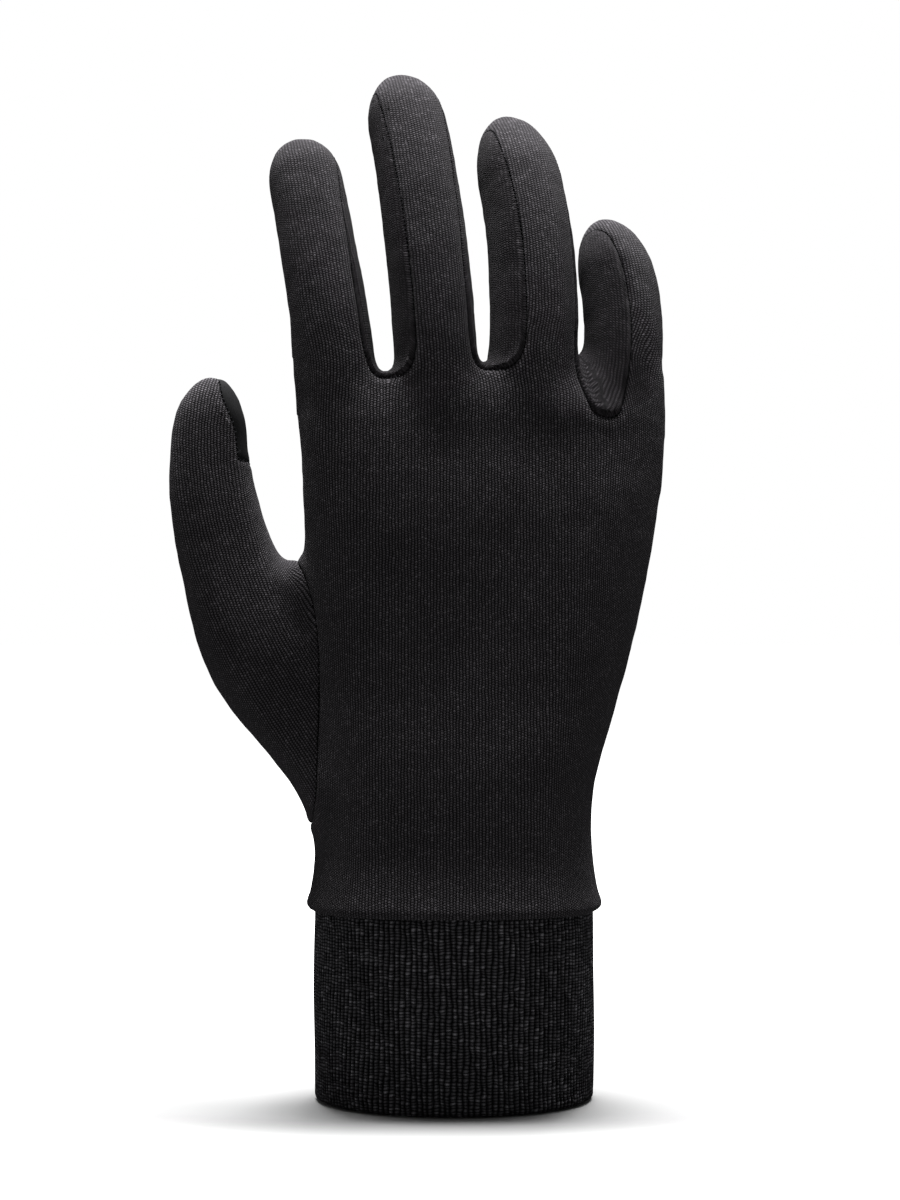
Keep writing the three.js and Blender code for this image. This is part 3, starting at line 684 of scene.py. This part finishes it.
def shape_seams(bm, layers):
    """Sinks the cloth into its seams and swells it beside them, with slight unevenness all over."""
    bm.normal_update()
    moves = []
    for v in bm.verts:
        p = v.co / MM
        move = sum(deep * noise.noise(p / wide) for deep, wide in UNEVEN)
        for name in SEAM_LAYERS:
            d = v[layers[name]]
            if abs(d) > SEAM_REACH:
                continue
            size = PAD_SEAM_SHARE if name == "pad" else 1.0 - TIP_FADE * v[layers["tip"]]
            move -= size * GROOVE_DEPTH * bell(d, GROOVE_WIDTH)
            move += size * SWELL * bell(abs(d) - SWELL_MIDDLE, SWELL_WIDTH)
            if name.startswith("strip"):
                move += LIP * v[layers["crotch"]] * bell(d - LIP_MIDDLE, LIP_WIDTH)
        h = v[layers["hem"]]
        if h < SEAM_REACH:
            move += HEM_SWELL * bell(h - HEM_SWELL_MIDDLE, HEM_SWELL_WIDTH) - HEM_ROLL * bell(h, HEM_ROLL_WIDTH)
        moves.append(v.normal * float(move) * MM)
    for v, move in zip(bm.verts, moves):
        v.co += move


def region_of(face, layers):
    mean = {n: sum(v[layers[n]] for v in face.verts) for n in SEAM_LAYERS}
    for i in range(3):
        if mean[f"strip_{i}"] > 0:
            return f"strip_{i}"
    if mean["thumb"] > 0:
        return "pad" if mean["pad"] > 0 else "thumb"
    return "hand"


def seam_line_points(bm):
    """The open edges of a panel as chains of (place, normal)."""
    left = {e for e in bm.edges if e.is_boundary}
    chains = []
    while left:
        edge = left.pop()
        chain = [edge.verts[0], edge.verts[1]]
        while True:
            nxt = [e for e in chain[-1].link_edges if e in left]
            if not nxt:
                break
            left.discard(nxt[0])
            chain.append(nxt[0].other_vert(chain[-1]))
        chains.append([(v.co.copy(), v.normal.copy()) for v in chain])
    return chains


def draw_in_edges(bm, by):
    """Draws a panel's open edge in, so that it stays clear of the panel it is sewn to."""
    moves = {}
    for v in bm.verts:
        if v.is_boundary:
            inner = [e.other_vert(v).co for e in v.link_edges if not e.is_boundary]
            if inner:
                way = sum(inner, Vector()) / len(inner) - v.co
                if way.length > 1e-7:
                    moves[v] = way.normalized() * min(by * MM, way.length / 2)
    for v, move in moves.items():
        v.co += move


def round_the_side(aside, half, deep, away):
    """How far a knit column lies from the middle line, out to the side and on round it."""
    turned = rise_between(0.55, 1.0, np.abs(aside) / half)
    return aside + np.sign(aside) * turned * 0.8 * np.maximum(0, deep - np.abs(away))


def hand_uv(points):
    """Millimetres across and along the knit of the hand and the fingers."""
    x, y, z = points.T
    up = np.clip((z - WRIST_Z) / HAND_LENGTH, 0, 1)
    depth = np.where(y < 0, curve(HAND_TABLE, "up", "back", up), curve(HAND_TABLE, "up", "palm", up))
    deep = (WRIST_DEPTH + depth * (KNUCKLE_DEPTH - WRIST_DEPTH)) / 2
    middle = KNUCKLE_SHIFT * up
    half = curve(HAND_TABLE, "up", "right", up) * (KNUCKLE_WIDTH - WRIST_WIDTH) / 2 + WRIST_WIDTH / 2
    to_palm = LITTLE_BASE_TO_PALM * rise_between(20, 45, x) * rise_between(-25, 10, z - WRIST_Z - HAND_LENGTH)
    u = middle + round_the_side(x - middle, half, deep, y - to_palm)
    v = z.copy()
    nearest = np.full(len(points), np.inf)
    for name, digit in fingers.items():
        share, a, b = digit.locate(points)
        turn = math.radians(FINGERS[name]["twist"])
        a, b = a * math.cos(turn) - b * math.sin(turn), a * math.sin(turn) + b * math.cos(turn)
        distance = np.hypot(a, b)
        rise = min(r for web in WEBS for n, r in zip(web["fingers"], web["rises"]) if n == name)
        turn_share = (rise + 12) / digit.length
        start = digit.at(digit.place, turn_share)
        weight = rise_between(2, 24, share * digit.length - rise)
        u_digit = start[0] + round_the_side(a, digit.width[0] / 2, digit.depth[0] / 2, b)
        v_digit = start[2] + (share - turn_share) * digit.length
        own = (distance < nearest) & (share > 0)
        u = np.where(own, u + (u_digit - u) * weight, u)
        v = np.where(own, v + (v_digit - v) * weight, v)
        nearest = np.where(own, distance, nearest)
    return u, v


def thumb_uv(points):
    share, a, b = thumb.locate(points)
    half, deep = thumb.at(thumb.width, 0.5) / 2, thumb.at(thumb.depth, 0.5) / 2
    return round_the_side(a, half, deep, b), share * thumb.length


def strip_uv(points, web):
    """Across the strip from back to palm, and along it, up one finger and down the other."""
    located = {n: fingers[n].locate(points) for n in web["fingers"]}
    seam = StripSeam(web, located)
    on_first = seam.a < seam.b
    y = np.where(on_first, located[web["fingers"][0]][2], located[web["fingers"][1]][2])
    lift = np.maximum(seam.height - web["on_back"], 0)
    across = np.clip((seam.a - seam.b) / 2, -6, 6)
    return y, across + np.sign(across) * lift


def set_uv(mesh, u, v):
    layer = mesh.uv_layers.new(name="knit")
    corners = np.zeros(len(mesh.loops), int)
    mesh.loops.foreach_get("vertex_index", corners)
    layer.data.foreach_set("uv", np.stack([u[corners], v[corners]], 1).astype(np.float32).ravel())


def smooth_shaded(mesh):
    mesh.polygons.foreach_set("use_smooth", [True] * len(mesh.polygons))


def panel(source, region, name, uv_of):
    """One sewn panel of the hand as an object, and its seam lines."""
    bm = source.copy()
    layers = {n: bm.verts.layers.float[n] for n in HAND_LAYERS}
    others = [f for f in bm.faces if region_of(f, layers) != region]
    bmesh.ops.delete(bm, geom=others, context="FACES")
    chains = seam_line_points(bm)
    draw_in_edges(bm, EDGE_GAP)
    made = object_of(bm, name)
    u, v = uv_of(points_of(made.data))
    set_uv(made.data, u, v)
    smooth_shaded(made.data)
    group = made.vertex_groups.new(name="wall")
    for v in made.data.vertices:
        up = v.co.z / MM - CUFF_HEIGHT
        group.add([v.index], min(1.0, HEM_EDGE_WALL + max(up, 0) / 2), "REPLACE")
    wall = made.modifiers.new("wall", "SOLIDIFY")
    wall.thickness = KNIT_WALL * MM
    wall.offset = -1
    wall.vertex_group = "wall"
    return made, chains


def spaced(chain, pitch):
    """Places along a chain at even steps, with the way along and the normal."""
    co = np.array([p for p, _ in chain]) / MM
    normals = np.array([n for _, n in chain])
    steps = np.linalg.norm(np.diff(co, axis=0), axis=1)
    run = np.concatenate([[0], np.cumsum(steps)])
    count = int(run[-1] / pitch)
    for i in range(count):
        at = (i + 0.5) * pitch
        place = np.array([np.interp(at, run, co[:, k]) for k in range(3)])
        ahead = np.array([np.interp(at + 0.6, run, co[:, k]) for k in range(3)])
        behind = np.array([np.interp(at - 0.6, run, co[:, k]) for k in range(3)])
        normal = unit(np.array([np.interp(at, run, normals[:, k]) for k in range(3)]))
        if np.linalg.norm(ahead - behind) > 0.2:
            yield place, unit(ahead - behind), normal


def stitches(name, chains, pitch, half_length, half_width, lift, slant=0.0):
    """Short stitches of thread across a seam."""
    bm = bmesh.new()
    turned = 1
    for chain in chains:
        for place, along, normal in spaced(chain, pitch):
            across = unit(np.cross(normal, along))
            across = unit(across + slant * turned * along)
            turned = -turned
            along = unit(np.cross(across, normal))
            normal = np.cross(along, across)
            axes = Matrix((across * half_length, along * half_width, normal * half_width))
            moved = Matrix.Translation(Vector(place + normal * lift) * MM)
            set_down = moved @ Matrix.Scale(MM, 4) @ axes.transposed().to_4x4()
            bmesh.ops.create_icosphere(bm, subdivisions=1, radius=1, matrix=set_down)
    bmesh.ops.recalc_face_normals(bm, faces=bm.faces)
    made = object_of(bm, name)
    smooth_shaded(made.data)
    return made


def cuff_object():
    """The folded rib: outside up to its sewn top inside the hem, then down the inside."""
    around = RIBS * RIB_SAMPLES
    fold = CUFF_WALL / 2
    rows_up = int(CUFF_HEIGHT / CUFF_ROW)
    share = RELIEF_SHARES
    outer = [(0.0, z, share["outer"]) for z in np.linspace(fold, CUFF_HEIGHT, rows_up)]
    tuck = [(CUFF_DRAW_IN * s, CUFF_HEIGHT + CUFF_TUCK * s, share["tuck"]) for s in (0.3, 0.65, 1.0)]
    top = [(CUFF_DRAW_IN + CUFF_WALL, CUFF_HEIGHT + CUFF_TUCK, share["top"])]
    inner = [(CUFF_WALL, z, share["inner"]) for z in np.linspace(CUFF_HEIGHT, fold, CUFF_INNER_ROWS)]
    turns = np.radians([-30, -60, -90, -120, -150])
    under = [(fold + fold * math.cos(a), fold + fold * math.sin(a), share["under"]) for a in turns]
    profile = np.array(outer + tuck + top + inner + under)
    index = np.arange(around)
    phase = index / RIB_SAMPLES
    ridge = 1 - np.abs(np.cos(np.pi * phase)) ** RIB_ROUNDNESS
    rib = phase.astype(int)
    rings = []
    for inset, z, strength in profile:
        wobble = sum(far * np.sin(z / high + rib * unlike) for far, high, unlike in RIB_WOBBLE)
        angle = 2 * np.pi * (index + wobble * RIB_SAMPLES) / around
        swell = sum(deep * np.sin(z / high + times * angle) for deep, high, times in CUFF_SWELL)
        calm = 1 if CUFF_CALM < z < CUFF_HEIGHT - CUFF_CALM else CUFF_CALM_SHARE
        size = -inset - RIB_RELIEF * strength * ridge + swell * calm
        x = (CUFF_WIDTH / 2 + size) * np.cos(angle)
        y = (CUFF_DEPTH / 2 + size) * np.sin(angle)
        rings.append(np.stack([x, y, np.full_like(x, z)], 1))
    rings = np.array(rings + [rings[0]])
    rows = len(rings) - 1
    bm = bmesh.new()
    made = bmesh.ops.create_grid(bm, x_segments=around, y_segments=rows, size=1)["verts"]
    uv_layer = bm.loops.layers.uv.new("knit")
    heights = np.concatenate([[0], np.cumsum(np.hypot(np.diff(profile[:, 0]), np.diff(profile[:, 1])))])
    heights = np.append(heights, heights[-1] + 0.6)
    for face in bm.faces:
        for corner in face.loops:
            i = round((corner.vert.co.x + 1) / 2 * around)
            j = round((corner.vert.co.y + 1) / 2 * rows)
            corner[uv_layer].uv = (i / RIB_SAMPLES, heights[j])
    for v in made:
        i = round((v.co.x + 1) / 2 * around) % around
        j = round((v.co.y + 1) / 2 * rows)
        v.co = Vector(rings[j, i]) * MM
    bmesh.ops.remove_doubles(bm, verts=made, dist=1e-7)
    bmesh.ops.recalc_face_normals(bm, faces=bm.faces)
    cuff = object_of(bm, "cuff_rib")
    smooth_shaded(cuff.data)
    return cuff


class Socket:
    """A node's output, with sums written as Python."""

    def __init__(self, tree, output):
        self.tree, self.output = tree, output

    def node(self, kind, settings, inputs, out=0):
        return add_node(self.tree, kind, settings, inputs, out)

    def math(self, operation, *others):
        return self.node("ShaderNodeMath", {"operation": operation}, dict(enumerate([self, *others])))

    def __add__(self, other):
        return self.math("ADD", other)

    def __sub__(self, other):
        return self.math("SUBTRACT", other)

    def __mul__(self, other):
        return self.math("MULTIPLY", other)

    def __truediv__(self, other):
        return self.math("DIVIDE", other)

    def __rsub__(self, other):
        return (self * -1) + other

    __radd__ = __add__
    __rmul__ = __mul__

    def abs(self):
        return self.math("ABSOLUTE")

    def floor(self):
        return self.math("FLOOR")

    def fraction(self):
        return self.math("FRACT")

    def power(self, by):
        return self.math("POWER", by)


def add_node(tree, kind, settings, inputs, out=0):
    node = tree.nodes.new(kind)
    for key, value in settings.items():
        setattr(node, key, value)
    for key, value in inputs.items():
        if isinstance(value, Socket):
            tree.links.new(value.output, node.inputs[key])
        else:
            node.inputs[key].default_value = value
    return Socket(tree, node.outputs[out])


def new_material(name, roughness, sheen=0.0):
    """A matt material without a mirror gloss."""
    material = bpy.data.materials.new(name)
    material.use_nodes = True
    shader = material.node_tree.nodes["Principled BSDF"]
    shader.inputs["Roughness"].default_value = roughness
    shader.inputs["Sheen Weight"].default_value = sheen
    shader.inputs["Sheen Roughness"].default_value = 0.5
    shader.inputs["Specular IOR Level"].default_value = 0.0
    return material, material.node_tree, shader


def tinted(tree, colour, amount):
    """A colour times an amount."""
    grey = add_node(tree, "ShaderNodeCombineColor", {}, {0: amount, 1: amount, 2: amount})
    settings = {"data_type": "RGBA", "blend_type": "MULTIPLY"}
    return add_node(tree, "ShaderNodeMix", settings, {0: 1.0, 6: (*colour, 1), 7: grey}, out=2)


def bumped(tree, shader, height, depth, strength):
    normal = add_node(tree, "ShaderNodeBump", {}, {"Strength": strength, "Distance": depth * MM, "Height": height})
    tree.links.new(normal.output, shader.inputs["Normal"])


def knit_material(name, colour, wale, course, wale_dark, row_dark):
    """Columns of small stitches with dark gaps, each stitch with its own lightness, and painted shade towards the
    fingertips.
    """
    material, tree, shader = new_material(name, 0.85, 0.006)
    place = add_node(tree, "ShaderNodeUVMap", {"uv_map": "knit"}, {})
    stray = {"Vector": place, "Scale": 0.3, "Detail": 2.0}
    stray = place.node("ShaderNodeTexNoise", {"noise_dimensions": "2D"}, stray)
    u = place.node("ShaderNodeSeparateXYZ", {}, {0: place}, out=0) / wale + stray * 0.7
    v = place.node("ShaderNodeSeparateXYZ", {}, {0: place}, out=1) / course
    across = (u.fraction() - 0.5).abs() * 2
    v = v + u.floor() * 0.5 + across * 0.3 + stray * 0.7
    along = (v.fraction() - 0.5).abs() * 2
    cell = place.node("ShaderNodeCombineXYZ", {}, {0: u.floor(), 1: v.floor()})
    chance = place.node("ShaderNodeTexWhiteNoise", {"noise_dimensions": "2D"}, {0: cell})
    body = place.node("ShaderNodeTexCoord", {}, {}, out=3)
    patch = place.node("ShaderNodeTexNoise", {}, {"Vector": body, "Scale": 45.0, "Detail": 2.0})
    height = (1 - across.power(2.0) * 0.8) * (1 - along.power(2.0) * 0.6)
    height_up = body.node("ShaderNodeSeparateXYZ", {}, {0: body}, out=2)
    tips = {"Value": height_up, "From Min": TIPS_Z[0], "From Max": TIPS_Z[1]}
    tips_closer_and_shaded = height_up.node("ShaderNodeMapRange", {}, tips)
    gaps = 1 - tips_closer_and_shaded * TIPS_GAPS_LOST
    lit = (1 - across.power(1.2) * wale_dark * gaps) * (1 - along.power(1.2) * row_dark * gaps)
    # Darker towards the fingertips: painted shade that makes up for the strong light from above
    lit = lit * (1 - tips_closer_and_shaded * TIPS_PAINTED_SHADE) * (0.9 + chance.power(5.0) * 0.8) * (0.85 + patch * 0.5)
    tree.links.new(tinted(tree, colour, lit).output, shader.inputs["Base Color"])
    bumped(tree, shader, height * (0.75 + chance * 0.5), 0.3, 0.9)
    return material


def rib_material(name, colour):
    """Ribs with dark gaps and pits, uneven from one stitch to the next."""
    material, tree, shader = new_material(name, 0.85, 0.004)
    place = add_node(tree, "ShaderNodeUVMap", {"uv_map": "knit"}, {})
    stray = {"Vector": place, "Scale": 0.4, "Detail": 2.0}
    stray = place.node("ShaderNodeTexNoise", {"noise_dimensions": "2D"}, stray)
    u = place.node("ShaderNodeSeparateXYZ", {}, {0: place}, out=0) + stray * 0.5 + 0.25
    v = place.node("ShaderNodeSeparateXYZ", {}, {0: place}, out=1) / RIB_COURSE + stray * 1.5
    across = (u.fraction() - 0.5).abs() * 2
    along = (v.fraction() - 0.5).abs() * 2
    cell = place.node("ShaderNodeCombineXYZ", {}, {0: u.floor(), 1: v.floor()})
    chance = place.node("ShaderNodeTexWhiteNoise", {"noise_dimensions": "2D"}, {0: cell})
    body = place.node("ShaderNodeTexCoord", {}, {}, out=3)
    patch = place.node("ShaderNodeTexNoise", {}, {"Vector": body, "Scale": 60.0, "Detail": 2.0})
    height = (1 - across.power(2.0)) * (1 - along.power(2.0) * 0.7)
    lit = (1 - across.power(1.1) * 0.98) * (1 - along.power(1.3) * 0.95)
    lit = lit * (0.8 + chance.power(4.0) * 1.6) * (0.75 + patch * 0.6)
    tree.links.new(tinted(tree, colour, lit).output, shader.inputs["Base Color"])
    bumped(tree, shader, height * (0.6 + chance * 0.8), 0.35, 0.9)
    return material


def pad_material(name, colour):
    """Smooth thin panel with a soft grain."""
    material, tree, shader = new_material(name, 0.5)
    body = add_node(tree, "ShaderNodeTexCoord", {}, {}, out=3)
    grain = body.node("ShaderNodeTexNoise", {}, {"Vector": body, "Scale": 1400.0, "Detail": 3.0})
    patch = body.node("ShaderNodeTexNoise", {}, {"Vector": body, "Scale": 110.0, "Detail": 2.0})
    lit = 0.75 + patch * 0.4 + grain * 0.12
    tree.links.new(tinted(tree, colour, lit).output, shader.inputs["Base Color"])
    rough = 0.34 + patch * 0.2
    tree.links.new(rough.output, shader.inputs["Roughness"])
    bumped(tree, shader, grain, 0.05, 0.4)
    return material


def thread_material(name, colour):
    material, tree, shader = new_material(name, 0.7)
    body = add_node(tree, "ShaderNodeTexCoord", {}, {}, out=3)
    twist = body.node("ShaderNodeTexNoise", {}, {"Vector": body, "Scale": 900.0, "Detail": 1.0})
    tree.links.new(tinted(tree, colour, 0.6 + twist * 0.8).output, shader.inputs["Base Color"])
    return material


def finish(piece, material, slot, *nodes):
    piece.data.materials.append(material)
    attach(piece, "root")
    if nodes:
        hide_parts(*nodes)


knit = knit_material("black_knit", BLACK_KNIT, WALE, **KNIT)
# The strips' darker knit is painted shade
strip_knit_painted_shade = knit_material("strip_knit_painted_shade", STRIP_KNIT_PAINTED_SHADE, WALE, **STRIP)
rib_knit = rib_material("rib_knit", BLACK_RIB)
smooth_pad = pad_material("smooth_pad", PAD_GREY)
black_thread = thread_material("black_thread", THREAD_BLACK)

hand_mesh, hand_layers = cut_hand()
shape_seams(hand_mesh, hand_layers)

body, _ = panel(hand_mesh, "hand", "hand_knit", hand_uv)
finish(body, knit, "knit", "hand_body")
strip_chains = []
STRIP_NODES = ["strip_index_middle", "strip_middle_ring", "strip_ring_little"]
for number, (web, node) in enumerate(zip(WEBS, STRIP_NODES)):
    piece, chains = panel(hand_mesh, f"strip_{number}", f"{node}_knit", lambda p, w=web: strip_uv(p, w))
    finish(piece, strip_knit_painted_shade, "knit", node)
    strip_chains += chains
thumb_piece, _ = panel(hand_mesh, "thumb", "thumb_knit", thumb_uv)
finish(thumb_piece, knit, "knit", "thumb")
pad_piece, pad_chains = panel(hand_mesh, "pad", "touch_pad", thumb_uv)
finish(pad_piece, smooth_pad, "touch_panel", "thumb_touch_pad")
hand_mesh.free()

cuff = cuff_object()
finish(cuff, rib_knit, "rib", "cuff")

finger_thread = stitches("finger_seam_thread", strip_chains, **FINGER_STITCHES)
finish(finger_thread, black_thread, "knit")
pad_thread = stitches("touch_pad_thread", pad_chains, **PAD_STITCHES)
finish(pad_thread, black_thread, "knit")

# Room: a wide floor that glows white by emission away from the glove (painted light that keeps its shadow short),
# a soft light high up behind and a faint one on each side in front
floor_bm = bmesh.new()
bmesh.ops.create_circle(floor_bm, cap_ends=True, segments=64, radius=FLOOR_RADIUS)
for v in floor_bm.verts:
    v.co.z = FLOOR_Z
floor = object_of(floor_bm, "floor")
floor_material, floor_tree, floor_shader = new_material("emissive_floor_painted_light", 0.8)
floor_shader.inputs["Base Color"].default_value = (FLOOR_GREY, FLOOR_GREY, FLOOR_GREY, 1)
# The floor's emission is painted light: it glows more with distance from the glove, so that its shadow stays short
# and narrow
floor_shader.inputs["Emission Strength"].default_value = 1.0
body_place = add_node(floor_tree, "ShaderNodeTexCoord", {}, {}, out=3)
narrow = body_place.node("ShaderNodeVectorMath", {"operation": "MULTIPLY"}, {0: body_place, 1: PAINTED_GLOW_SQUEEZE})
from_glove = narrow.node("ShaderNodeVectorMath", {"operation": "LENGTH"}, {0: narrow}, out=1)
edge = {"Value": from_glove, "From Min": PAINTED_GLOW_EDGE[0], "From Max": PAINTED_GLOW_EDGE[1]}
painted_glow = from_glove.node("ShaderNodeMapRange", {"interpolation_type": "SMOOTHSTEP"}, edge)
floor_tree.links.new(tinted(floor_tree, (1, 1, 1), painted_glow).output, floor_shader.inputs["Emission Color"])
floor.data.materials.append(floor_material)

for name, place, size, power in LAMPS:
    lamp = bpy.data.lights.new(name, "AREA")
    lamp.shape, lamp.size, lamp.energy = "SQUARE", size, power
    light = bpy.data.objects.new(name, lamp)
    light.location = place
    light.rotation_euler = (Vector(AIM) - Vector(place)).to_track_quat("-Z", "Y").to_euler()
    bpy.context.scene.collection.objects.link(light)

world = bpy.data.worlds.new("white_room")
world.use_nodes = True
world.node_tree.nodes["Background"].inputs["Color"].default_value = (1, 1, 1, 1)
world.node_tree.nodes["Background"].inputs["Strength"].default_value = 1.0
bpy.context.scene.world = world
bpy.context.scene.view_settings.view_transform = "Standard"

camera_data = bpy.data.cameras.new("camera")
camera_data.sensor_fit = "HORIZONTAL"
camera_data.sensor_width = CAMERA_SENSOR
camera_data.lens = CAMERA_LENS
camera = bpy.data.objects.new("camera", camera_data)
camera.location = CAMERA_PLACE
camera.rotation_euler = (math.pi / 2, 0, 0)
bpy.context.scene.collection.objects.link(camera)
bpy.context.scene.camera = camera
